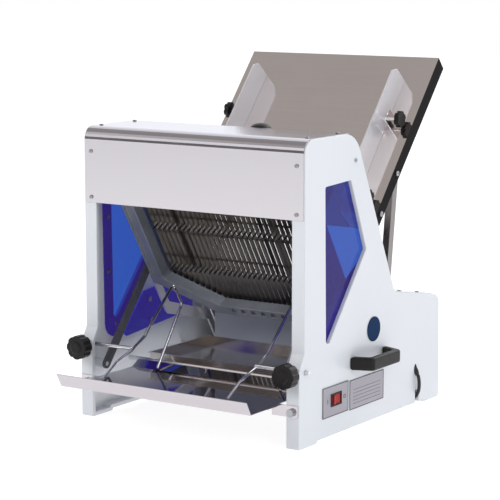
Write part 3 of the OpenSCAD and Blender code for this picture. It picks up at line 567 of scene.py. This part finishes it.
@dataclass(frozen=True)
class Accent:
    """A second finish on the faces whose centres lie in a box of the drawing, in millimetres."""

    finish: Finish
    low: Point
    high: Point
    facing: Point = (0, 0, 0)
    least: float = 0.7

    def lay(self, piece: bpy.types.Object) -> None:
        """Gives the faces in the box this finish, where they face the stated way.

        Args:
            piece: the mesh object, whose first slot holds its main finish.
        """
        low, high, facing = at(*self.low), at(*self.high), Vector(self.facing)
        piece.data.materials.append(material(self.finish))
        place = len(piece.data.materials) - 1
        for face in piece.data.polygons:
            inside = all(a <= c <= b for a, c, b in zip(low, face.center, high))
            if inside and (facing.length == 0 or face.normal.dot(facing) > self.least):
                face.material_index = place


@dataclass
class Softened:
    """A solid shown with its edges broken, as a casting, pressing or moulding has them; width in metres."""

    node: str
    body: str
    slot: str
    finish: Finish
    width: float
    segments: int = 3
    angle: float = 35.0
    clamp: bool = False
    smooth: float = 32.0
    accents: Sequence[Accent] = ()

    def build(self) -> bpy.types.Object:
        """Makes the piece that stands for the solid.

        Returns:
            The piece.
        """
        source = NODES[self.node]
        piece = bpy.data.objects.new(self.node + "_shape", source.data.copy())
        bpy.context.scene.collection.objects.link(piece)
        focus(piece)
        bpy.ops.object.mode_set(mode="EDIT")
        bpy.ops.mesh.select_all(action="SELECT")
        bpy.ops.mesh.remove_doubles(threshold=MERGE)
        bpy.ops.mesh.dissolve_limited(angle_limit=FLAT)
        bpy.ops.object.mode_set(mode="OBJECT")
        soft_edges(piece, self.width, self.segments, self.angle, self.clamp, self.smooth)
        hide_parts(self.node)
        ride(piece, self.body, self.finish)
        for accent in self.accents:
            accent.lay(piece)
        return piece


@dataclass(frozen=True)
class Lamp:
    """Soft square area light, with its place and aim in metres and its power in watts."""

    name: str
    place: Point
    aim: Point
    size: float
    power: float
    mirrored: bool = True

    def build(self) -> None:
        """Adds the light; bright metal shows it only where it is mirrored."""
        data = bpy.data.lights.new(self.name, "AREA")
        data.size = self.size
        data.energy = self.power
        obj = bpy.data.objects.new(self.name, data)
        obj.location = self.place
        obj.rotation_euler = (Vector(self.aim) - Vector(self.place)).to_track_quat("-Z", "Y").to_euler()
        obj.visible_camera = False
        obj.visible_glossy = self.mirrored
        bpy.context.scene.collection.objects.link(obj)


@dataclass
class Studio:
    """Camera at the photograph's angle, placed in millimetres, with a pale floor and soft light."""

    camera_at: Point = (2176.66, -3040.15, 940.86)
    yaw: float = 33.697
    pitch: float = 8.827
    lens: float = 141.33
    sensor: float = 36.0
    clip_end: float = 100.0
    floor_size: float = 24.0
    floor_z: float = -0.0004
    lamps: Sequence[Lamp] = (Lamp("key_light", (-2.2, -3.0, 3.4), (0, 0, 0.3), 2.4, 62, mirrored=False),
                             Lamp("side_light", (1.8, -0.9, 1.9), (0.2, -0.1, 0.6), 1.2, 10),
                             Lamp("back_light", (0.6, 3.2, 3.0), (0, 0.1, 0.5), 2.0, 40))
    room_strength: float = 0.8
    room: Sequence[tuple[float, Point]] = (
        (0.0, (0.80, 0.78, 0.80)), (1.0, (0.46, 0.43, 0.42)), (0.02, (0.50, 0.48, 0.49)),
        (0.05, (0.05, 0.04, 0.04)), (0.25, (0.05, 0.04, 0.04)),
        (0.36, (1.5, 1.5, 1.52)), (0.54, (1.5, 1.5, 1.52)), (0.64, (0.46, 0.43, 0.42)))
    back_range: tuple[float, float] = (0.1, 0.45)
    back_colour: Point = (1.4, 1.43, 1.5)

    def camera(self) -> None:
        """Adds the camera and makes it the scene's own."""
        data = bpy.data.cameras.new("camera")
        data.lens = self.lens
        data.sensor_width = self.sensor
        data.clip_end = self.clip_end
        obj = bpy.data.objects.new("camera", data)
        obj.location = at(*self.camera_at)
        obj.rotation_euler = (math.radians(90 - self.pitch), 0.0, math.radians(self.yaw))
        bpy.context.scene.collection.objects.link(obj)
        bpy.context.scene.camera = obj

    def sky(self) -> None:
        """Adds the surroundings: plain white behind the machine, and a room that its metal mirrors."""
        world = bpy.data.worlds.new("studio_sky")
        world.use_nodes = True
        tree = world.node_tree
        room = tree.nodes["Background"]
        plain = tree.nodes.new("ShaderNodeBackground")
        plain.inputs["Strength"].default_value = 1.0
        plain.inputs["Color"].default_value = (1.0, 1.0, 1.0, 1.0)
        where = tree.nodes.new("ShaderNodeTexCoord")
        split = tree.nodes.new("ShaderNodeSeparateXYZ")
        ramp = tree.nodes.new("ShaderNodeValToRGB")
        for place, (position, colour) in enumerate(self.room):
            stop = ramp.color_ramp.elements[place] if place < 2 else ramp.color_ramp.elements.new(position)
            stop.position = position
            stop.color = (*colour, 1.0)
        seen = tree.nodes.new("ShaderNodeLightPath")
        blend = tree.nodes.new("ShaderNodeMixShader")
        tree.links.new(where.outputs["Generated"], split.inputs[0])
        tree.links.new(split.outputs["Z"], ramp.inputs[0])
        behind = tree.nodes.new("ShaderNodeMapRange")
        behind.inputs["From Min"].default_value = self.back_range[0]
        behind.inputs["From Max"].default_value = self.back_range[1]
        wall = tree.nodes.new("ShaderNodeMix")
        wall.data_type = "RGBA"
        wall.inputs[MIX_SECOND].default_value = (*self.back_colour, 1.0)
        tree.links.new(split.outputs["Y"], behind.inputs["Value"])
        tree.links.new(behind.outputs[0], wall.inputs[0])
        tree.links.new(ramp.outputs[0], wall.inputs[MIX_FIRST])
        tree.links.new(wall.outputs[MIX_RESULT], room.inputs["Color"])
        room.inputs["Strength"].default_value = self.room_strength
        tree.links.new(seen.outputs["Is Camera Ray"], blend.inputs[0])
        tree.links.new(room.outputs[0], blend.inputs[1])
        tree.links.new(plain.outputs[0], blend.inputs[2])
        tree.links.new(blend.outputs[0], tree.nodes["World Output"].inputs["Surface"])
        bpy.context.scene.world = world

    def build(self) -> None:
        """Builds floor, sky, lights and camera."""
        deselect()
        bpy.ops.mesh.primitive_plane_add(size=self.floor_size, location=(0, 0, self.floor_z))
        floor = settle(added("floor"))
        dress(floor, FLOOR)
        self.sky()
        for lamp in self.lamps:
            lamp.build()
        bpy.context.scene.view_settings.view_transform = "Standard"
        self.camera()


CHUTE_SLOPE = 49.8
CHUTE_AT = (311.0, 383.0)


def chute_point(x: float, y: float, z: float) -> Vector:
    """Row-frame point of a point in the chute's own frame.

    Args:
        x: place across the chute, in millimetres.
        y: place up the chute.
        z: height over its sheet.

    Returns:
        The point in metres.
    """
    turn = math.radians(CHUTE_SLOPE)
    return at(x, CHUTE_AT[0] + math.cos(turn) * y - math.sin(turn) * z,
              CHUTE_AT[1] + math.sin(turn) * y + math.cos(turn) * z)


@dataclass
class Fastener:
    """Screw heads of one size in millimetres, with a cross recess as shares of it, on their seats."""

    name: str
    node: str
    radius: float
    height: float
    seats: list[tuple[Vector, Vector]] = field(default_factory=list)
    finish: Finish = SCREW_STEEL
    slot: str = "screw_steel"
    sides: int = 28
    rim: float = 0.42
    edge: float = 0.3
    recess: Point = (1.1, 0.2, 1.1)
    recess_edge: float = 0.03

    def head(self) -> bpy.types.Object:
        """Makes one head at the origin, its seat on Z = 0.

        Returns:
            The head.
        """
        r, h = self.radius * MM, self.height * MM
        deselect()
        bpy.ops.mesh.primitive_cylinder_add(vertices=self.sides, radius=r, depth=h, location=(0, 0, h / 2))
        head = settle(added(self.name + "_head"))
        pick_faces(head, lambda centre, normal: normal.z > ALIGNED)
        bpy.ops.mesh.inset(thickness=self.rim * r)
        bpy.ops.object.mode_set(mode="OBJECT")
        soft_edges(head, self.edge * h, 3, 60, True)
        deselect()
        bpy.ops.mesh.primitive_cube_add(size=1, location=(0, 0, h))
        cutter = added("recess")
        cutter.scale = (self.recess[0] * r, self.recess[1] * r, self.recess[2] * h)
        settle(cutter)
        pick_faces(cutter, lambda centre, normal: abs(normal.x) > ALIGNED)
        bpy.ops.mesh.bevel(offset=self.recess_edge * r, segments=1)
        bpy.ops.object.mode_set(mode="OBJECT")
        for turn in (0.0, math.pi / 2):
            cutter.rotation_euler = (0, 0, turn)
            bpy.context.view_layer.update()
            modify(head, "BOOLEAN", operation="DIFFERENCE", object=cutter, solver="EXACT")
        bpy.data.objects.remove(cutter)
        return head

    def build(self) -> bpy.types.Object:
        """Sets a head on every seat.

        Returns:
            All heads as one piece that stands for the solids.
        """
        head = self.head()
        copies = []
        for place, normal in self.seats:
            copy = bpy.data.objects.new(self.name, head.data.copy())
            bpy.context.scene.collection.objects.link(copy)
            turn = normal.to_track_quat("Z", "Y").to_matrix().to_4x4()
            copy.matrix_world = Matrix.Translation(place) @ turn
            copies.append(copy)
        bpy.data.objects.remove(head)
        deselect()
        for copy in copies:
            copy.select_set(True)
        bpy.context.view_layer.objects.active = copies[0]
        bpy.ops.object.join()
        piece = settle(copies[0])
        piece.name = self.name
        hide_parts(self.node)
        return ride(piece, "base", self.finish)


def cover_seats() -> list[tuple[Vector, Vector]]:
    """Places the screws of the covers, the base and the frames' plugs.

    Returns:
        Seat and normal of each screw.
    """
    screw_x, frame_x, front_y, top_z = 242.0, 260.0, 16.8, 585.7
    front_zs, top_ys, base_ys = (445.0, 536.5), (52.0, 162.0), (409.0, 484.0)
    plug_y, plug_z = 200.74, 532.0
    base_start, base_top, base_run, base_fall, base_sheet = 360.5, 250.6, 187.5, 32.6, 1.5
    tilt = math.atan(base_fall / base_run)
    seats = []
    for side in (-1, 1):
        x = screw_x * side
        seats += [(at(x, front_y, z), Vector((0, -1, 0))) for z in front_zs]
        seats += [(at(x, y, top_z), Vector((0, 0, 1))) for y in top_ys]
        for y in base_ys:
            top = base_top - base_fall * (y - base_start) / base_run + base_sheet / math.cos(tilt)
            seats.append((at(x, y, top), Vector((0, math.sin(tilt), math.cos(tilt)))))
        seats.append((at(frame_x * side, plug_y, plug_z), Vector((side, 0, 0))))
    return seats


def window_seats() -> list[tuple[Vector, Vector]]:
    """Returns: seat and normal of each window and guard screw."""
    spots = ((247.0, 76.5, 397.5), (247.0, 77.0, 285.5), (247.0, 99.5, 175.0), (247.0, 215.0, 300.0),
             (227.0, 190.0, 213.0), (227.0, 195.0, 169.0))
    return [(at(x * side, y, z), Vector((-side, 0, 0))) for side in (-1, 1) for x, y, z in spots]


def chute_seats() -> list[tuple[Vector, Vector]]:
    """Returns: seat and normal of each chute bolt."""
    flange_x, bolt_ys, bolt_z = 230.5, (45, 144), -14.2
    return [(chute_point(flange_x * side, y, bolt_z), Vector((side, 0, 0)))
            for side in (-1, 1) for y in bolt_ys]


@dataclass
class MainsLead:
    """Mains lead in millimetres: out of its gland, under the frame and into a tied coil behind the base."""

    diameter: float = 7.0
    coil_at: Point = (60.0, 607.0)
    coil_r: float = 45.0
    step: float = 7.6
    turns: int = 3
    low: float = 4.5
    rings: int = 40
    steps: int = 5
    roundness: int = 3
    lead: Sequence[Point] = ((263.807, 451.044, 65.841), (265.108, 451.23, 63.055),
                             (266.416, 451.417, 60.251), (267.2, 452.8, 50), (266.6, 454.3, 38),
                             (263.4, 456, 26.5), (256.5, 457.8, 16.5), (246, 459.6, 9.3), (232, 461.6, 5.4),
                             (214, 464.5, 4.5), (195, 467, 4.5), (160, 482, 4.5), (125, 515, 4.5),
                             (106, 560, 4.5), (105, 595, 4.5), (105, 602, 4.5))
    tail: Sequence[Point] = ((105, 614, 12.1), (105, 621, 12.1), (105, 638, 12.1), (102.4, 651, 12.1),
                             (95, 662, 12.1), (84, 669.4, 12.1), (71, 672, 12.1), (62, 672, 12.1))

    def smooth(self, points: Sequence[Point]) -> list[Vector]:
        """Smooth path through points.

        Args:
            points: the route's points in millimetres.

        Returns:
            The path, without its last point.
        """
        spots = [Vector(p) for p in points]
        last = len(spots) - 1
        path = []
        for i in range(last):
            a, b, c, d = spots[max(i - 1, 0)], spots[i], spots[i + 1], spots[min(i + 2, last)]
            for k in range(self.steps):
                t = k / self.steps
                path.append(0.5 * (2 * b + (c - a) * t + (2 * a - 5 * b + 4 * c - d) * t * t
                                   + (3 * b - a - 3 * c + d) * t ** 3))
        return path

    def coil(self) -> list[Vector]:
        """Winds the coil, spiralling in below and out again above.

        Returns:
            The coil's points.
        """
        last = 2 * self.turns * self.rings
        half = self.turns * self.rings
        path = []
        for i in range(last + 1):
            angle = 2 * math.pi * i / self.rings
            r = self.coil_r - self.step * min(i, last - i) / self.rings
            rise = min(1.0, max(0.0, (i - half + self.rings / 4) / (self.rings / 2)))
            path.append(Vector((self.coil_at[0] + r * math.cos(angle), self.coil_at[1] + r * math.sin(angle),
                                self.low + self.step * rise)))
        return path

    def build(self, plug: bpy.types.Object, tie: bpy.types.Object) -> bpy.types.Object:
        """Lays the lead.

        Args:
            plug: the plug at its end; not used.
            tie: the band round the coil; not used.

        Returns:
            The lead as a curve.
        """
        path = self.smooth(self.lead) + self.coil() + self.smooth(self.tail) + [Vector(self.tail[-1])]
        points = [at(*p) for p in path]
        data = bpy.data.curves.new("mains_lead", "CURVE")
        data.dimensions = "3D"
        data.bevel_depth = self.diameter / 2 * MM
        data.bevel_resolution = self.roundness
        data.use_fill_caps = True
        line = data.splines.new("POLY")
        line.points.add(len(points) - 1)
        for spot, point in zip(line.points, points):
            spot.co = (*point, 1.0)
        line.use_smooth = True
        lead = bpy.data.objects.new("mains_lead", data)
        bpy.context.scene.collection.objects.link(lead)
        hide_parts("cord_lead", "cord_coil", "cord_tail")
        return ride(lead, "base", RUBBER)


@dataclass
class PlateTrim:
    """Raised border, ruled lines and rivets of one bare plate on the right side frame."""

    name: str
    face_x: float
    low: tuple[float, float]
    high: tuple[float, float]
    lines: Sequence[tuple[float, float, float]] = ()
    marks: Sequence[tuple[float, float, float, float]] = ()
    border: float = 1.6
    height: float = 0.25
    line_w: float = 0.7
    rivet_r: float = 2.1
    rivet_sides: int = 20
    rivet_flat: float = 0.45
    rivet_in: float = 5.0

    def bar(self, y0: float, y1: float, z0: float, z1: float) -> bpy.types.Object:
        """One flat bar on the plate.

        Args:
            y0: its front edge, in millimetres.
            y1: its back edge.
            z0: its lower edge.
            z1: its upper edge.

        Returns:
            The bar.
        """
        deselect()
        middle = at(self.face_x + self.height / 2, (y0 + y1) / 2, (z0 + z1) / 2)
        bpy.ops.mesh.primitive_cube_add(size=1, location=middle)
        piece = added(self.name)
        piece.scale = (self.height * MM, (y1 - y0) * MM, (z1 - z0) * MM)
        return settle(piece)

    def rivet(self, y: float, z: float) -> bpy.types.Object:
        """One rivet head at a corner of the plate.

        Args:
            y: its place along the plate, in millimetres.
            z: its height.

        Returns:
            The head.
        """
        deselect()
        bpy.ops.mesh.primitive_uv_sphere_add(segments=self.rivet_sides, ring_count=self.rivet_sides // 2,
                                             radius=self.rivet_r * MM, location=at(self.face_x, y, z))
        piece = added(self.name + "_rivet")
        piece.scale = (self.rivet_flat, 1.0, 1.0)
        settle(piece)
        return soft_edges(piece, 0.0, smooth=60.0)

    def join(self, parts: list[bpy.types.Object], slot: str, finish: Finish) -> bpy.types.Object:
        """Joins parts into one piece that rides on the frame.

        Args:
            parts: the loose pieces.
            slot: the record's material slot; not used.
            finish: their finish.

        Returns:
            The joined piece.
        """
        deselect()
        for part in parts:
            part.select_set(True)
        bpy.context.view_layer.objects.active = parts[0]
        bpy.ops.object.join()
        return ride(parts[0], "base", finish)

    def build(self) -> None:
        """Builds border, lines, marks and rivets."""
        (y0, z0), (y1, z1), b = self.low, self.high, self.border
        bars = [self.bar(y0, y1, z0, z0 + b), self.bar(y0, y1, z1 - b, z1),
                self.bar(y0, y0 + b, z0 + b, z1 - b), self.bar(y1 - b, y1, z0 + b, z1 - b)]
        bars += [self.bar(a, c, z, z + self.line_w) for a, c, z in self.lines]
        bars += [self.bar(*mark) for mark in self.marks]
        self.join(bars, "black_plastic", MARK_DARK)
        inset = self.rivet_in
        spots = [(y, z) for y in (y0 + inset, y1 - inset) for z in (z0 + inset, z1 - inset)]
        self.join([self.rivet(y, z) for y, z in spots], "screw_steel", SCREW_STEEL)


PLATES = [
    PlateTrim("switch_sign_trim", 261.2, (83.0, 43.5), (178.0, 103.5),
              marks=((100.5, 101.9, 70.5, 79.5), (160.0, 161.4, 73.0, 77.0), (166.0, 167.4, 73.0, 77.0),
                     (160.0, 167.4, 71.6, 73.0), (160.0, 167.4, 77.0, 78.4))),
    PlateTrim("rating_plate_trim", 260.8, (184.0, 41.5), (316.0, 101.0),
              lines=tuple((197.0, 303.0, z) for z in (52.0, 59.0, 66.0, 73.0, 80.0))),
]

PLAIN_NODES: dict[str, Finish] = {
    "tie_rods": CHROME, "base_plate": DARK_COAT, "base_front_panel": GREY_COAT, "base_cover": WHITE,
    "front_cover": COVER_SHEET, "frame_pads": NYLON, "chute_brackets": DARK_COAT,
    "guide_left": GUIDE_SHEET, "guide_right": GUIDE_SHEET, "blades_front": BLADE_STEEL,
    "blades_rear": BLADE_STEEL, "con_rods_front": GUIDE_SHEET, "con_rods_rear": GUIDE_SHEET,
    "drive_shaft": STEEL, "motor_pulley": STEEL, "drive_belt": RUBBER, "tray": TRAY_SHEET,
    "crumb_pan": PAN_SHEET, "rating_plate": PLATE_METAL}

FLANGES = (Accent(BLACK_FLANGE, (229.5, 280, 330), (232, 620, 720), (1, 0, 0)),
           Accent(BLACK_FLANGE, (-232, 280, 330), (-229.5, 620, 720), (-1, 0, 0)))
BEZEL = (Accent(BLACK_PLASTIC, (261.4, 112, 61), (264, 153, 89)),)

SOFTENED = [
    Softened("side_frame_left", "base", "white_paint", WHITE, 0.0018),
    Softened("side_frame_right", "base", "white_paint", WHITE, 0.0018),
    Softened("chute", "base", "stainless", CHUTE_SHEET, 0.0, accents=FLANGES),
    Softened("windows", "base", "tint_blue", WINDOW, 0.0005, 2),
    Softened("guards", "base", "tint_blue", WINDOW, 0.0005, 2),
    Softened("chute_struts", "base", "polished", STRUT_STEEL, 0.0004, 2),
    Softened("motor", "base", "motor_iron", MOTOR_IRON, 0.003, 3, 35.0, True),
    Softened("tray_screws", "base", "screw_steel", SCREW_STEEL, 0.0006, 2, 40.0, True),
    Softened("switch_plate", "base", "label_metal", PLATE_METAL, 0.0004, 2, accents=BEZEL),
    Softened("side_disc", "base", "badge_blue", BADGE, 0.0005, 2),
    Softened("handle_left", "base", "black_plastic", BLACK_PLASTIC, 0.0045, 4),
    Softened("handle_right", "base", "black_plastic", BLACK_PLASTIC, 0.0045, 4),
    Softened("cord_gland", "base", "cord_rubber", RUBBER, 0.0004, 2),
    Softened("blade_frame_front", "front_blades", "cast_alu", CAST_METAL, 0.0014),
    Softened("blade_frame_rear", "rear_blades", "cast_alu", CAST_METAL, 0.0014),
    Softened("pusher_comb", "pusher", "black_wire", BLACK_WIRE, 0.0, smooth=50.0),
    Softened("pusher_grip", "pusher", "black_plastic", BLACK_PLASTIC, 0.0008, 2),
    Softened("arm_front_left", "arm_fl", "fibre", FIBRE, 0.0006, 2),
    Softened("arm_front_right", "arm_fr", "fibre", FIBRE, 0.0006, 2),
    Softened("arm_rear_left", "arm_rl", "fibre", FIBRE, 0.0006, 2),
    Softened("arm_rear_right", "arm_rr", "fibre", FIBRE, 0.0006, 2),
    Softened("rail_left", "rail_l", "polished", CHROME, 0.0, smooth=50.0),
    Softened("rail_right", "rail_r", "polished", CHROME, 0.0, smooth=50.0),
    Softened("rail_knob_left", "rail_knob_l", "black_plastic", BLACK_PLASTIC, 0.0016, 3, 40.0, True),
    Softened("rail_knob_right", "rail_knob_r", "black_plastic", BLACK_PLASTIC, 0.0016, 3, 40.0, True),
    Softened("guide_knob_left_lower", "guide_knob_ll", "black_plastic", BLACK_PLASTIC, 0.001, 3, 40.0, True),
    Softened("guide_knob_left_upper", "guide_knob_lu", "black_plastic", BLACK_PLASTIC, 0.001, 3, 40.0, True),
    Softened("guide_knob_right_lower", "guide_knob_rl", "black_plastic", BLACK_PLASTIC, 0.001, 3, 40.0, True),
    Softened("guide_knob_right_upper", "guide_knob_ru", "black_plastic", BLACK_PLASTIC, 0.001, 3, 40.0, True),
    Softened("switch_rocker", "rocker", "red_plastic", RED_LENS, 0.0007, 3),
]


def main() -> None:
    """Builds the studio and every piece."""
    logging.basicConfig(level=logging.INFO)
    Studio().build()
    plug = Softened("plug", "base", "black_plastic", BLACK_PLASTIC, 0.001, 3, 35.0, True).build()
    tie = Softened("cord_tie", "base", "black_plastic", BLACK_PLASTIC, 0.0002, 2).build()
    MainsLead().build(plug, tie)
    for node, finish in PLAIN_NODES.items():
        dress(NODES[node], finish)
        LOG.info("%s is dressed in %s", node, finish.name)
    for shape in SOFTENED:
        shape.build()
    for plate in PLATES:
        plate.build()
    Fastener("cover_screw_heads", "cover_screws", 4.0, 2.4, cover_seats()).build()
    Fastener("window_screw_heads", "window_screws", 5.0, 1.2, window_seats()).build()
    Fastener("chute_bolt_heads", "chute_bolts", 5.5, 3.0, chute_seats()).build()


if __name__ == "__main__":
    main()
